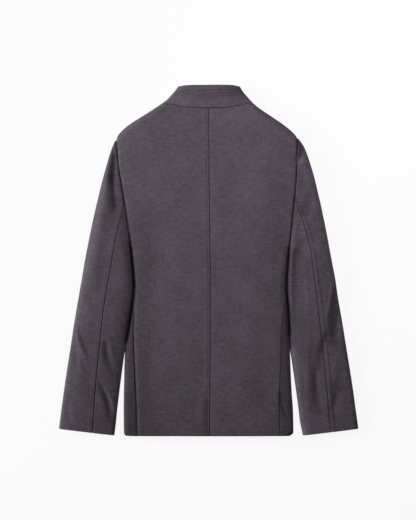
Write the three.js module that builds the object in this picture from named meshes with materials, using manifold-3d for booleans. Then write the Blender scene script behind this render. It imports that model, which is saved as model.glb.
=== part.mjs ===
// A single-breasted blazer with a stand collar, lying face down on a flat surface with its back up.
// Millimetres, +Z up. The hem is towards -Y, the collar towards +Y and the wearer's left towards -X.
// Each cut piece is a wall of cloth: an upper sheet and a lower sheet join in rounded folds at the sides.
import * as THREE from 'three';
import { mergeVertices } from 'three/addons/utils/BufferGeometryUtils.js';
import Module from 'manifold-3d';

const wasm = await Module();
wasm.setup();

// Driving dimensions
const wall = 2;
const seamGap = 0.3;
const hemY = -395.2;
const underarmY = 25;
const neckEndY = 354;
const backNeckY = 341.3;
const frontNeckY = 343.5;
const backCollarY = 389.3;
const collarFoldY = 392;
const frontCollarY = 395.2;
const cornerRound = { left: 8, right: 11 };
const shoulderY = { left: 273, right: 278 };
const sign = { left: -1, right: 1 };
const closureX = 0.2;
const lap = 25;
const buttonLift = 3.8;
const lapLift = buttonLift + wall + seamGap;
const buttonHalf = 27;
const cuffY = { inner: -394, outer: -379 };
const armholeStep = 1.2;
const frontSeamRise = 42;
const collarLayer = { outer: [0, 1.5], inner: [1.8, 3] };

// Grid lines. The body pieces share the rows below the underarm, and the collar shares the neck's columns.
const lowerRows = [
  0, 0.006, 0.015, 0.028, 0.06, 0.13, 0.21, 0.3, 0.39, 0.48, 0.56,
  0.605, 0.635, 0.66, 0.685, 0.71, 0.74, 0.775, 0.85, 0.93, 1,
];
const upperRows = [0.18, 0.36, 0.54, 0.7, 0.83, 0.92, 0.97, 1];
const neckShares = [0, 0.3, 0.56, 0.78, 0.93, 1];
const shoulderShares = [0.25, 0.5, 0.75, 0.92, 1];
const neckPart = 0.55;

// Outline of one half from the collar's top corner over the shoulder to the cuff, as x at each y,
// with the plan radius of the fold along it
const outlineRows = [
  { y: 402, left: -61, right: 63, round: 8 },
  { y: 393, left: -67, right: 68.5, round: 8 },
  { y: 378.7, left: -78, right: 78.5, round: 8 },
  { y: 365.2, left: -90, right: 89.6, round: 9 },
  { y: 354, left: -104.2, right: 100.5, round: 11 },
  { y: 342.7, left: -120.8, right: 113.9, round: 14 },
  { y: 324.7, left: -148.7, right: 140.4, round: 16 },
  { y: 306.7, left: -177.1, right: 167, round: 16 },
  { y: 288.7, left: -198.2, right: 189, round: 16 },
  { y: 270.7, left: -210.2, right: 204.5, round: 16 },
  { y: 252.7, left: -217.4, right: 216.2, round: 16 },
  { y: 225.7, left: -226.4, right: 226.1, round: 15 },
  { y: 180.7, left: -238.7, right: 239.4, round: 14 },
  { y: 90.7, left: -260.3, right: 259.9, round: 13 },
  { y: 0.7, left: -278.3, right: 277, round: 12 },
  { y: -44.3, left: -286, right: 285.7, round: 12 },
  { y: -89.3, left: -293.9, right: 292.6, round: 12 },
  { y: -156.8, left: -305.1, right: 304, round: 11 },
  { y: -291.8, left: -325.6, right: 325.4, round: 10 },
  { y: -378.7, left: -337, right: 337.3, round: 9 },
];

// Body edge below the underarm and back armhole above it
const bodyRows = [
  { y: 278, left: -209, right: 198.6 },
  { y: 248, left: -206.8, right: 197 },
  { y: 216.7, left: -203.2, right: 196.8 },
  { y: 169.4, left: -194.9, right: 194.4 },
  { y: 89.6, left: -182.9, right: 187 },
  { y: 25, left: -175.3, right: 180.9 },
  { y: -39.8, left: -168.9, right: 176.2 },
  { y: -66.8, left: -168.2, right: 175.9 },
  { y: -118.6, left: -174.8, right: 180.4 },
  { y: -156.8, left: -180.6, right: 182.2 },
  { y: -201.8, left: -188, right: 183.4 },
  { y: -269.3, left: -190.1, right: 185.8 },
  { y: -336.8, left: -191.5, right: 190.2 },
  { y: -396, left: -190.4, right: 191.5 },
];

// Space between the body edge and the sleeve's inner edge
const splitRows = [
  { y: 25, left: 0.6, right: 0.6 },
  { y: -200, left: 0.6, right: 0.8 },
  { y: -224.3, left: 2, right: 2.8 },
  { y: -269.3, left: 7.2, right: 7.5 },
  { y: -314.3, left: 11.7, right: 10.8 },
  { y: -359.3, left: 16.6, right: 14.4 },
  { y: -394, left: 21.6, right: 20.8 },
];

// Height of the upper sheet at the folds and of the body's middle, and the bow of the centre back seam
const heightRows = [
  { y: 394, edge: 15, middle: 21, seam: 0.2 },
  { y: 341, edge: 19, middle: 26, seam: 0.2 },
  { y: 273, edge: 21, middle: 30, seam: 1 },
  { y: 150, edge: 20, middle: 32, seam: 2.2 },
  { y: 25, edge: 17, middle: 29, seam: 3.4 },
  { y: -24, edge: 16, middle: 27, seam: 4.5 },
  { y: -245, edge: 13, middle: 22, seam: 3.9 },
  { y: -396, edge: 12, middle: 18, seam: 2.5 },
];

// Distance from the body edge in to the side-back seam above and to the front-side seam below
const sideSeamRows = [
  { y: 70, left: 0, right: 0, under: 22 },
  { y: -70, left: 0, right: 0, under: 26 },
  { y: -95, left: 0, right: 6, under: 27 },
  { y: -118.6, left: 7, right: 13, under: 28 },
  { y: -157, left: 11, right: 17, under: 31 },
  { y: -202, left: 19.4, right: 19.5, under: 34 },
  { y: -269, left: 24.5, right: 25, under: 38 },
  { y: -337, left: 28.5, right: 30.8, under: 42 },
  { y: -396, left: 28, right: 31.7, under: 45 },
];

// How far the front armhole is cut in from the back armhole, at each rise above the underarm
const scoopRows = [
  { y: 0, scoop: 0 },
  { y: 14, scoop: 9 },
  { y: 42, scoop: 22 },
  { y: 80, scoop: 27 },
  { y: 130, scoop: 24 },
  { y: 180, scoop: 15 },
  { y: 225, scoop: 5 },
  { y: 250, scoop: 0 },
];

// Sleeve rings, from the armhole to the cuff: y of the inner and the outer end, the share of the ring
// from its inner end to the hind seam on each side and to the forearm seam below, and the crown
const ringRows = [
  { t: 0, inner: 25, outer: 275, hindLeft: 0.431, hindRight: 0.451, fore: 0.2, crown: 0 },
  { t: 0.05, inner: 23, outer: 240, hindLeft: 0.404, hindRight: 0.452, fore: 0.21, crown: 1 },
  { t: 0.1, inner: 19, outer: 204, hindLeft: 0.399, hindRight: 0.476, fore: 0.22, crown: 3 },
  { t: 0.15, inner: 12, outer: 166, hindLeft: 0.409, hindRight: 0.499, fore: 0.24, crown: 4 },
  { t: 0.2, inner: 0, outer: 128, hindLeft: 0.432, hindRight: 0.538, fore: 0.26, crown: 5 },
  { t: 0.25, inner: -18, outer: 86, hindLeft: 0.459, hindRight: 0.578, fore: 0.28, crown: 5 },
  { t: 0.3, inner: -42, outer: 44, hindLeft: 0.477, hindRight: 0.6, fore: 0.3, crown: 5 },
  { t: 0.4, inner: -95, outer: -32, hindLeft: 0.508, hindRight: 0.592, fore: 0.3, crown: 5 },
  { t: 0.5, inner: -150, outer: -102, hindLeft: 0.5, hindRight: 0.588, fore: 0.3, crown: 5 },
  { t: 0.6, inner: -204, outer: -168, hindLeft: 0.469, hindRight: 0.585, fore: 0.3, crown: 5 },
  { t: 0.8, inner: -310, outer: -284, hindLeft: 0.429, hindRight: 0.543, fore: 0.28, crown: 4 },
  { t: 1, inner: cuffY.inner, outer: cuffY.outer, hindLeft: 0.391, hindRight: 0.501, fore: 0.26, crown: 3 },
];

// Largest creases of the upper side, each a straight soft trough or ridge between two points
const creaseRows = [
  { x1: -211, y1: 238, x2: -221, y2: 172, width: 9, height: -3.5 },
  { x1: -221, y1: 172, x2: -212, y2: 106, width: 9, height: -3.5 },
  { x1: -296, y1: -150, x2: -271, y2: -224, width: 8, height: 2.5 },
  { x1: -226, y1: -193, x2: -213, y2: -247, width: 8, height: -2 },
  { x1: -244, y1: -296, x2: -224, y2: -346, width: 8, height: -2 },
  { x1: 220, y1: 239, x2: 202, y2: 211, width: 7, height: -2 },
  { x1: 278, y1: -42, x2: 269, y2: -89, width: 7, height: 2.5 },
  { x1: 280, y1: -89, x2: 271, y2: -157, width: 10, height: -2.5 },
  { x1: 257, y1: -179, x2: 257, y2: -238, width: 8, height: -2.5 },
  { x1: 246, y1: -265, x2: 248, y2: -337, width: 9, height: -2.5 },
  { x1: 165, y1: -305, x2: 184, y2: -355, width: 7, height: -1.2 },
];

const buttonSize = { radius: 11.5, thick: 3.5, rim: 1.6, dish: 0.8, hole: 1.1, holeOut: 2.4 };
const buttonRow = { first: 318, step: -95, count: 5 };

const cloth = new THREE.MeshStandardMaterial({ color: 0x4e474f, roughness: 0.95, metalness: 0 });
const clothDark = new THREE.MeshStandardMaterial({ color: 0x423c43, roughness: 0.95, metalness: 0 });
const horn = new THREE.MeshStandardMaterial({ color: 0x2b272b, roughness: 0.45, metalness: 0 });

const mix = (a, b, k) => a + (b - a) * k;
const limit = (value, low, high) => Math.min(Math.max(value, low), high);
const smooth = (k) => {
  const c = limit(k, 0, 1);
  return c * c * (3 - 2 * c);
};

// Smooth reading of one column of a table at a key, with the end values held
function along(rows, at, column, key = 'y') {
  const rising = rows[0][key] < rows[rows.length - 1][key];
  const list = rising ? rows : rows.slice().reverse();
  const place = limit(at, list[0][key], list[list.length - 1][key]);
  let i = 0;
  while (i < list.length - 2 && list[i + 1][key] < place) {
    i += 1;
  }
  const slope = (j) => {
    const before = list[Math.max(j - 1, 0)];
    const after = list[Math.min(j + 1, list.length - 1)];
    return (after[column] - before[column]) / (after[key] - before[key]);
  };
  const step = list[i + 1][key] - list[i][key];
  const k = (place - list[i][key]) / step;
  const bend = k * k * (3 - 2 * k);
  return mix(list[i][column], list[i + 1][column], bend)
    + step * (slope(i) * k * (1 - k) * (1 - k) - slope(i + 1) * k * k * (1 - k));
}

const outlineX = (side, y) => along(outlineRows, y, side);
const scoopAt = (y) => along(scoopRows, y - underarmY, 'scoop');
const seamX = (y) => along(heightRows, y, 'seam');

// Body edge, rounded at the hem's corner
function bodyX(side, y) {
  const radius = cornerRound[side];
  const into = Math.max(radius - (y - hemY), 0);
  const cut = radius - Math.sqrt(radius * radius - into * into);
  return along(bodyRows, y, side) - sign[side] * cut;
}

function sleeveInnerX(side, y) {
  return along(bodyRows, y, side) + sign[side] * along(splitRows, y, side);
}

// A path as a run of straight steps, to measure distances from
function pathOf(xAt, from, to, step) {
  const count = Math.ceil(Math.abs(to - from) / step);
  return Array.from({ length: count + 1 }, (_, i) => {
    const y = mix(from, to, i / count);
    return { x: xAt(y), y };
  });
}

const paths = {};
for (const side of ['left', 'right']) {
  paths[side] = {
    outline: pathOf((y) => outlineX(side, y), outlineRows[0].y, cuffY.outer, 6),
    body: pathOf((y) => bodyX(side, y), underarmY, hemY, 4),
    sleeve: pathOf((y) => sleeveInnerX(side, y), underarmY, cuffY.inner, 6),
  };
}

// Nearest point of a path: its distance, and the direction in plan from the cloth out to the path
function nearest(path, x, y, outward) {
  let best = { d: Infinity };
  for (let i = 0; i < path.length - 1; i += 1) {
    const a = path[i];
    const ex = path[i + 1].x - a.x;
    const ey = path[i + 1].y - a.y;
    const length = Math.hypot(ex, ey);
    const k = limit(((x - a.x) * ex + (y - a.y) * ey) / (length * length), 0, 1);
    const dx = a.x + k * ex - x;
    const dy = a.y + k * ey - y;
    const d = Math.hypot(dx, dy);
    if (d < best.d) {
      const square = d < 0.5;
      best = {
        d,
        nx: square ? (outward * ey) / length : dx / d,
        ny: square ? (-outward * ex) / length : dy / d,
        round: along(outlineRows, a.y, 'round'),
      };
    }
  }
  return best;
}

// How far the fold has turned at a distance from its edge: 1 at the edge and 0 past its radius
function foldAt(near) {
  const tilt = Math.max(1 - near.d / near.round, 0);
  return { tilt, arch: Math.sqrt(1 - tilt * tilt), nx: near.nx, ny: near.ny };
}

function creaseAt(x, y) {
  let height = 0;
  for (const row of creaseRows) {
    const ex = row.x2 - row.x1;
    const ey = row.y2 - row.y1;
    const k = ((x - row.x1) * ex + (y - row.y1) * ey) / (ex * ex + ey * ey);
    const c = limit(k, 0, 1);
    const off = Math.hypot(x - row.x1 - c * ex, y - row.y1 - c * ey) / row.width;
    height += row.height * Math.exp(-off * off);
  }
  return height;
}

// Lift of the left or right front over the buttons near the closing line
function liftAt(side, x) {
  const away = Math.abs(x - closureX);
  return side === 'left'
    ? buttonLift * smooth((62 - away) / (62 - buttonHalf))
    : lapLift * smooth((86 - away) / (86 - lap - 18));
}

// A point of a sheet, at a depth inside the cloth's outer face. Folds turn the upper sheet down and
// the lower sheet up to half the edge height, and the wall turns with them.
function sheetPoint({ x, y, top, folds, upper, depth, lift = 0, hold = 0 }) {
  const edge = along(heightRows, y, 'edge');
  let arch = 1;
  let tiltX = 0;
  let tiltY = 0;
  for (const fold of folds) {
    arch *= fold.arch;
    tiltX += fold.tilt * fold.nx;
    tiltY += fold.tilt * fold.ny;
  }
  const flat = Math.hypot(tiltX, tiltY);
  const scale = flat > 1 ? 1 / flat : 1;
  const up = Math.sqrt(Math.max(1 - flat * flat * scale * scale, 0));
  const middle = edge / 2;
  const height = upper ? Math.max((top - middle) * arch, hold) : -Math.max(middle * arch, hold);
  return new THREE.Vector3(
    x - tiltX * scale * depth,
    y - tiltY * scale * depth,
    middle + height + (upper ? -up : up) * depth + lift,
  );
}

const evenSteps = (count) => Array.from({ length: count + 1 }, (_, i) => i / count);

// One closed wall from a grid of points: outer face, inner face and the four edges between them
function wallMesh(name, material, uList, vList, pointAt, depths = [0, wall]) {
  const positions = [];
  for (const depth of depths) {
    for (const v of vList) {
      for (const u of uList) {
        const p = pointAt(u, v, depth);
        positions.push(p.x, p.y, p.z);
      }
    }
  }
  const columns = uList.length - 1;
  const rows = vList.length - 1;
  const wide = columns + 1;
  const layer = wide * (rows + 1);
  const indices = [];
  const quad = (a, b, c, d) => indices.push(a, b, c, a, c, d);
  for (let j = 0; j < rows; j += 1) {
    for (let i = 0; i < columns; i += 1) {
      const a = j * wide + i;
      quad(a, a + 1, a + wide + 1, a + wide);
      quad(a + layer, a + wide + layer, a + wide + 1 + layer, a + 1 + layer);
    }
  }
  const rim = [];
  for (let i = 0; i < columns; i += 1) rim.push(i);
  for (let j = 0; j < rows; j += 1) rim.push(j * wide + columns);
  for (let i = columns; i > 0; i -= 1) rim.push(rows * wide + i);
  for (let j = rows; j > 0; j -= 1) rim.push(j * wide);
  // Each edge quad is cut the same way round, so that the edges of two neighbours stay parallel
  rim.forEach((a, n) => {
    const b = rim[(n + 1) % rim.length];
    if (a < b) {
      quad(b, a, a + layer, b + layer);
    } else {
      indices.push(b, a, b + layer, a, a + layer, b + layer);
    }
  });
  const geometry = new THREE.BufferGeometry();
  geometry.setAttribute('position', new THREE.Float32BufferAttribute(positions, 3));
  geometry.setIndex(indices);
  if (volumeOf(positions, indices) < 0) {
    geometry.setIndex(indices.slice().reverse());
  }
  geometry.computeVertexNormals();
  const mesh = new THREE.Mesh(geometry, material);
  mesh.name = name;
  return mesh;
}

function volumeOf(p, indices) {
  let sum = 0;
  for (let i = 0; i < indices.length; i += 3) {
    const [a, b, c] = [indices[i] * 3, indices[i + 1] * 3, indices[i + 2] * 3];
    sum += p[a] * (p[b + 1] * p[c + 2] - p[b + 2] * p[c + 1])
      - p[a + 1] * (p[b] * p[c + 2] - p[b + 2] * p[c])
      + p[a + 2] * (p[b] * p[c + 1] - p[b + 1] * p[c]);
  }
  return sum;
}

// Upper sheet of the body: crowned between its edges
function bodyTop(side, x, y) {
  const edge = along(heightRows, y, 'edge');
  const middle = along(heightRows, y, 'middle');
  const across = limit(Math.abs(x / along(bodyRows, Math.min(y, 278), side)), 0, 1);
  return edge + (middle - edge) * (1 - across ** 4) ** 2 + creaseAt(x, y);
}

function bodyPoint(side, x, y, upper, depth, options = {}) {
  const outward = -sign[side];
  const folds = [
    foldAt(nearest(paths[side].outline, x, y, outward)),
    foldAt(nearest(paths[side].body, x, y, outward)),
  ];
  return sheetPoint({ x, y, top: bodyTop(side, x, y), folds, upper, depth, ...options });
}

// Plan distance from the body edge at an arc length round the fold
function inset(q, round) {
  const turn = Math.min(Math.abs(q) / round, Math.PI / 2);
  return round * (1 - Math.cos(turn)) + Math.max(Math.abs(q) - (round * Math.PI) / 2, 0);
}

function arcOf(d, round) {
  return d < round ? round * Math.acos(1 - d / round) : (round * Math.PI) / 2 + d - round;
}

const sideRound = (y) => along(outlineRows, y, 'round');
const sideSeamArc = (side, y) => arcOf(Math.max(along(sideSeamRows, y, side), 0), sideRound(y));

// Seam between body and collar, from its low middle up to the neck's ends
function neckLine(x, low) {
  const side = x < closureX ? 'left' : 'right';
  const out = (x - closureX) / (outlineX(side, neckEndY) - closureX);
  return mix(low, neckEndY, Math.min(Math.abs(out), 1) ** 2.2);
}

// Columns of a body panel, as shares of its width, with those of the neck at the collar's columns
function panelColumns(side, innerX) {
  const end = outlineX(side, neckEndY);
  const neck = neckShares.map((g) => neckPart * ((mix(closureX, end, g) - innerX) / (end - innerX)));
  const before = neck[0] > 0.02 ? [0, neck[0] / 2] : [0];
  const start = neck[0] > 0.02 ? neck : neck.slice(1);
  return [...before, ...start, ...shoulderShares.map((g) => mix(neckPart, 1, g))];
}

// Plan place on a body panel. Columns run from the inner line to the side seam or armhole. Rows 0 to 1
// are below the split, and rows 1 to 2 fan out from it to the neck curve and the shoulder line.
function panelPlace(side, f, v, shape) {
  const { innerX, sideX, armX, splitY, neckY } = shape;
  if (v <= 1) {
    const y = mix(hemY, splitY, v);
    return { x: mix(innerX(y), sideX(y), f), y };
  }
  const k = v - 1;
  const end = outlineX(side, neckEndY);
  const top = { x: 0, y: 0 };
  if (f <= neckPart) {
    top.x = mix(innerX(neckY), end, f / neckPart);
    top.y = neckLine(top.x, neckY) - seamGap;
  } else {
    top.y = mix(neckEndY, shoulderY[side], (f - neckPart) / (1 - neckPart));
    top.x = outlineX(side, top.y);
  }
  const armY = mix(splitY, shoulderY[side], k);
  const bow = armX(armY) - mix(sideX(splitY), outlineX(side, shoulderY[side]), k);
  const start = mix(innerX(splitY), sideX(splitY), f);
  return { x: mix(start, top.x, k) + bow * f ** 6, y: mix(splitY, top.y, k) };
}

const panelRows = [...lowerRows, ...upperRows.map((k) => 1 + k)];

function backPanel(side) {
  const s = sign[side];
  const shape = {
    innerX: (y) => seamX(y) + (s * seamGap) / 2,
    sideX: (y) => bodyX(side, y) - s * inset(sideSeamArc(side, y) + seamGap / 2, sideRound(y)),
    armX: (y) => along(bodyRows, y, side) - (s * seamGap) / 2,
    splitY: underarmY,
    neckY: backNeckY,
  };
  const columns = panelColumns(side, shape.innerX(backNeckY));
  return wallMesh(`back_${side}`, cloth, columns, panelRows, (f, v, depth) => {
    const place = panelPlace(side, f, v, shape);
    return bodyPoint(side, place.x, place.y, true, depth, { hold: seamGap / 2 });
  });
}

// The left front laps under the right one at the closing line, and both rise over the buttons
function frontPanel(side) {
  const s = sign[side];
  const shape = {
    innerX: () => closureX - s * lap,
    sideX: (y) => bodyX(side, y) - s * (along(sideSeamRows, y, 'under') + seamGap / 2),
    armX: (y) => along(bodyRows, y, side) - s * (scoopAt(y) + seamGap / 2),
    splitY: underarmY + frontSeamRise,
    neckY: frontNeckY,
  };
  const columns = panelColumns(side, shape.innerX());
  return wallMesh(`front_${side}`, cloth, columns, panelRows, (f, v, depth) => {
    const place = panelPlace(side, f, v, shape);
    return bodyPoint(side, place.x, place.y, false, depth, {
      hold: seamGap / 2,
      lift: liftAt(side, place.x),
    });
  });
}

// The side panel turns round the body edge, from the side-back seam above to the front-side seam below.
// Its top runs from the underarm point down along the front armhole.
function sidePanel(side) {
  const s = sign[side];
  const startRows = scoopRows.slice(0, 3);
  const reach = startRows[2].scoop;
  return wallMesh(`side_${side}`, clothDark, evenSteps(10), lowerRows, (u, v, depth) => {
    const armholeArc = -arcOf(reach, sideRound(underarmY)) * u;
    const rise = along(startRows, inset(armholeArc, sideRound(underarmY)), 'y', 'scoop');
    const y = mix(hemY, underarmY + rise - seamGap * v, v);
    const round = sideRound(y);
    const seamArc = sideSeamArc(side, y);
    const underArc = -arcOf(along(sideSeamRows, y, 'under') - seamGap / 2, round);
    const q = mix(seamArc - seamGap / 2, underArc, u);
    const hold = q < 0 ? Math.max(seamGap / 2 - seamArc, 0) : 0;
    const x = bodyX(side, y) - s * inset(q, round);
    return bodyPoint(side, x, y, q >= 0, depth, { hold });
  });
}

// A point of a sleeve: the ring's share t, and the angle round it from the inner end over the top
function sleevePoint(side, t, angle, depth) {
  const s = sign[side];
  const share = (1 - Math.cos(angle)) / 2;
  const upper = Math.sin(angle) >= -1e-9;
  const row = (column) => along(ringRows, t, column, 't');
  const start = shoulderY[side];
  const outerY = row('outer') + (start - ringRows[0].outer) * Math.max(1 - t / ringRows[1].t, 0);
  const innerY = row('inner');
  const inner = { x: sleeveInnerX(side, innerY), y: innerY };
  const outer = { x: outlineX(side, outerY), y: outerY };
  const y = mix(inner.y, outer.y, share);
  const straight = mix(inner.x, outer.x, share);
  const armholeY = mix(underarmY, start, share);
  const ends = mix(sleeveInnerX(side, underarmY), outlineX(side, start), share);
  const cut = upper ? 0 : scoopAt(armholeY) - seamGap / 2;
  const clear = along(splitRows, underarmY, side) * (1 - share) + seamGap / 2;
  const armhole = along(bodyRows, armholeY, side) + s * (clear - cut);
  const within = share > 0 && share < 1 ? 1 : 0;
  const x = straight + (armhole - ends) * Math.max(1 - t / 0.15, 0) ** 2 * within;
  const settle = smooth(t / 0.12);
  const crown = row('crown') * (1 - (2 * share - 1) ** 4) ** 2;
  const top = along(heightRows, y, 'edge') - armholeStep * (1 - settle) + crown + creaseAt(x, y) * settle;
  const folds = [
    foldAt(nearest(paths[side].outline, x, y, -s)),
    foldAt(nearest(paths[side].sleeve, x, y, s)),
  ];
  return sheetPoint({ x, y, top, folds, upper, depth });
}

function sleevePanels(side) {
  const rings = evenSteps(20);
  const hindColumn = side === 'left' ? 'hindLeft' : 'hindRight';
  const angleOf = (share) => Math.acos(1 - 2 * share);
  const hind = (t) => angleOf(along(ringRows, t, hindColumn, 't'));
  const fore = (t) => angleOf(along(ringRows, t, 'fore', 't'));
  const ringAt = (v) => mix(v * v, v, 0.45);
  const gap = 0.0024;
  const top = wallMesh(`sleeve_top_${side}`, cloth, evenSteps(15), rings, (u, v, depth) => {
    const t = ringAt(v);
    return sleevePoint(side, t, mix(hind(t) + gap, 2 * Math.PI - fore(t) - gap, u), depth);
  });
  const under = wallMesh(`sleeve_under_${side}`, cloth, evenSteps(11), rings, (u, v, depth) => {
    const t = ringAt(v);
    return sleevePoint(side, t, mix(hind(t) - gap, -fore(t) + gap, u), depth);
  });
  return [top, under];
}

// The stand collar is one ring: its back lies above and its front ends meet below at the closing line.
// Stations run from the closing line round the left fold, over the back and round the right fold.
function collarStations() {
  const out = neckShares.slice(1);
  const half = [...out, ...out.slice(0, -1).reverse()];
  const leftHalf = half.map((g, i) => ({ side: 'left', g, upper: i >= out.length - 1 }));
  const rightHalf = half.map((g, i) => ({ side: 'right', g, upper: i <= out.length - 1 }));
  return [
    { side: 'left', g: 0, upper: false },
    ...leftHalf,
    { side: 'left', g: 0, upper: true },
    ...rightHalf,
    { side: 'right', g: 0, upper: false },
  ];
}

function collar(name, material, depths) {
  const stations = collarStations();
  return wallMesh(name, material, stations, evenSteps(4), ({ side, g, upper }, v, depth) => {
    const edgeY = mix(neckEndY, collarFoldY, v);
    const middleX = upper ? closureX : closureX + sign[side] * 0.5;
    const x = mix(middleX, outlineX(side, edgeY), g);
    const neckX = mix(closureX, outlineX(side, neckEndY), g);
    const neckY = neckLine(neckX, upper ? backNeckY : frontNeckY);
    const topY = mix(upper ? backCollarY : frontCollarY, collarFoldY, g ** 6);
    const y = mix(neckY, topY, v);
    const folds = ['left', 'right'].map((edge) => (
      foldAt(nearest(paths[edge].outline, x, y, -sign[edge]))
    ));
    const edge = along(heightRows, y, 'edge');
    const middle = along(heightRows, y, 'middle');
    const top = edge + (middle - edge) * (1 - g ** 4) ** 2;
    const lift = upper ? 0 : liftAt(side, x);
    return sheetPoint({ x, y, top, folds, upper, depth, lift });
  }, depths);
}

function toSolid(geometry) {
  const bare = geometry.clone();
  bare.deleteAttribute('normal');
  bare.deleteAttribute('uv');
  const merged = mergeVertices(bare, 1e-4);
  return new wasm.Manifold(new wasm.Mesh({
    numProp: 3,
    vertProperties: new Float32Array(merged.attributes.position.array),
    triVerts: new Uint32Array(merged.index.array),
  }));
}

function fromSolid(solid) {
  const mesh = solid.getMesh();
  const geometry = new THREE.BufferGeometry();
  geometry.setAttribute('position', new THREE.BufferAttribute(new Float32Array(mesh.vertProperties), 3));
  geometry.setIndex(new THREE.BufferAttribute(new Uint32Array(mesh.triVerts), 1));
  geometry.computeVertexNormals();
  return geometry;
}

// A plain four-hole button, dished on its outer face, which looks down
function buttonGeometry() {
  const { radius, thick, rim, dish, hole, holeOut } = buttonSize;
  const profile = [
    new THREE.Vector2(0, dish),
    new THREE.Vector2(radius - rim - dish, dish),
    new THREE.Vector2(radius - rim, 0),
    new THREE.Vector2(radius - dish, 0),
    new THREE.Vector2(radius, dish),
    new THREE.Vector2(radius, thick),
    new THREE.Vector2(0, thick),
  ];
  const disc = new THREE.LatheGeometry(profile, 18).rotateX(Math.PI / 2);
  let body = toSolid(disc);
  for (const [sx, sy] of [[1, 1], [1, -1], [-1, 1], [-1, -1]]) {
    const pin = new THREE.CylinderGeometry(hole, hole, thick * 3, 6).rotateX(Math.PI / 2);
    pin.translate((sx * holeOut) / Math.SQRT2, (sy * holeOut) / Math.SQRT2, 0);
    body = body.subtract(toSolid(pin));
  }
  return fromSolid(body);
}

const blazer = new THREE.Group();
for (const side of ['left', 'right']) {
  blazer.add(backPanel(side), sidePanel(side), frontPanel(side), ...sleevePanels(side));
}
blazer.add(collar('collar_outer', cloth, collarLayer.outer));
blazer.add(collar('collar_inner', clothDark, collarLayer.inner));

const button = buttonGeometry();
for (let i = 0; i < buttonRow.count; i += 1) {
  const mesh = new THREE.Mesh(button, horn);
  mesh.name = `button_${i + 1}`;
  mesh.position.set(closureX, buttonRow.first + i * buttonRow.step, 0);
  blazer.add(mesh);
}

export default blazer;
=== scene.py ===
import math

import bpy
import numpy as np
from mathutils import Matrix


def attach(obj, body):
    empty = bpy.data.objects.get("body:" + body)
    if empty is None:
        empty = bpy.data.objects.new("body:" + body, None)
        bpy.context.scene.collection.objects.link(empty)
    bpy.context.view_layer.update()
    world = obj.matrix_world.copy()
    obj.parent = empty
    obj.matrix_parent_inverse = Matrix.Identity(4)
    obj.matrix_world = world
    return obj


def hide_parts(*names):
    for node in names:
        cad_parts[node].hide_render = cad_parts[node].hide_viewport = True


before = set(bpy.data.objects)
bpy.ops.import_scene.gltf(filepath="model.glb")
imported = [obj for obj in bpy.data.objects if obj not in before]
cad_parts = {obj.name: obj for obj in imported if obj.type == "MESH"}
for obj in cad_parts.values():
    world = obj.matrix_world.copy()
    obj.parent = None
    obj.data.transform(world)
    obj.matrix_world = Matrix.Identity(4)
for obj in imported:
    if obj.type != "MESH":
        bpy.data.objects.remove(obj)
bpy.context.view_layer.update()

bpy.ops.object.select_all(action="DESELECT")
print("frame loaded:", len(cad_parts), "nodes")

mm = 0.001
sideSign = {"left": -1, "right": 1}

# Sizes shared by all the pieces, in millimetres, as in the solids
cut = {
    "wall": 2.0,
    "seamGap": 0.06,
    "lapGap": 0.3,
    "neckTuck": 0.35,
    "hiddenTuck": 0.3,
    "floorGap": 0.02,
    "sleeveGapTurn": 0.0024,
    "sleeveTuckTurn": 0.005,
    "hemY": -395.2,
    "underarmY": 25.0,
    "neckEndY": 354.0,
    "backNeckY": 341.3,
    "frontNeckY": 343.5,
    "backCollarY": 389.3,
    "collarFoldY": 392.0,
    "frontCollarY": 395.2,
    "corner": {"left": 8.0, "right": 11.0},
    "shoulderY": {"left": 273.0, "right": 278.0},
    "closureX": 0.2,
    "lap": 25.0,
    "buttonLift": 3.8,
    "buttonHalf": 27.0,
    "cuffInnerY": -394.0,
    "cuffOuterY": -379.0,
    "armholeStep": 1.2,
    "frontSeamRise": 42.0,
    "neckPart": 0.55,
    "neckBend": 2.2,
    "armholeBend": 6,
    "lowLiftReach": 62.0,
    "highLiftReach": 86.0,
    "highLiftFlat": 43.0,
    "rawEdge": 0.25,
}
lapLift = cut["buttonLift"] + cut["wall"] + cut["lapGap"]

# Outline of each half from the collar's corner over the shoulder to the cuff, and how round its fold is
outline = {
    "y": [402, 393, 378.7, 365.2, 354, 342.7, 324.7, 306.7, 288.7, 270.7, 252.7, 225.7, 180.7, 90.7, 0.7,
          -44.3, -89.3, -156.8, -291.8, -378.7],
    "left": [-61, -67, -78, -90, -104.2, -120.8, -148.7, -177.1, -198.2, -210.2, -217.4, -226.4, -238.7,
             -260.3, -278.3, -286, -293.9, -305.1, -325.6, -337],
    "right": [63, 68.5, 78.5, 89.6, 100.5, 113.9, 140.4, 167, 189, 204.5, 216.2, 226.1, 239.4,
              259.9, 277, 285.7, 292.6, 304, 325.4, 337.3],
    "round": [8, 8, 8, 9, 11, 14, 16, 16, 16, 16, 16, 15, 14, 13, 12, 12, 12, 11, 10, 9],
}

# Body edge below the underarm and back armhole above it
bodyEdge = {
    "y": [278, 248, 216.7, 169.4, 89.6, 25, -39.8, -66.8, -118.6, -156.8, -201.8, -269.3, -336.8, -396],
    "left": [-209, -206.8, -203.2, -194.9, -182.9, -175.3, -168.9, -168.2, -174.8, -180.6, -188, -190.1,
             -191.5, -190.4],
    "right": [198.6, 197, 196.8, 194.4, 187, 180.9, 176.2, 175.9, 180.4, 182.2, 183.4, 185.8, 190.2, 191.5],
}

# Space between the body and the sleeve's inner edge
split = {
    "y": [25, -200, -224.3, -269.3, -314.3, -359.3, -394],
    "left": [-0.3, -0.3, 2, 7.2, 11.7, 16.6, 21.6],
    "right": [-0.3, -0.2, 2.8, 7.5, 10.8, 14.4, 20.8],
}

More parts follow.
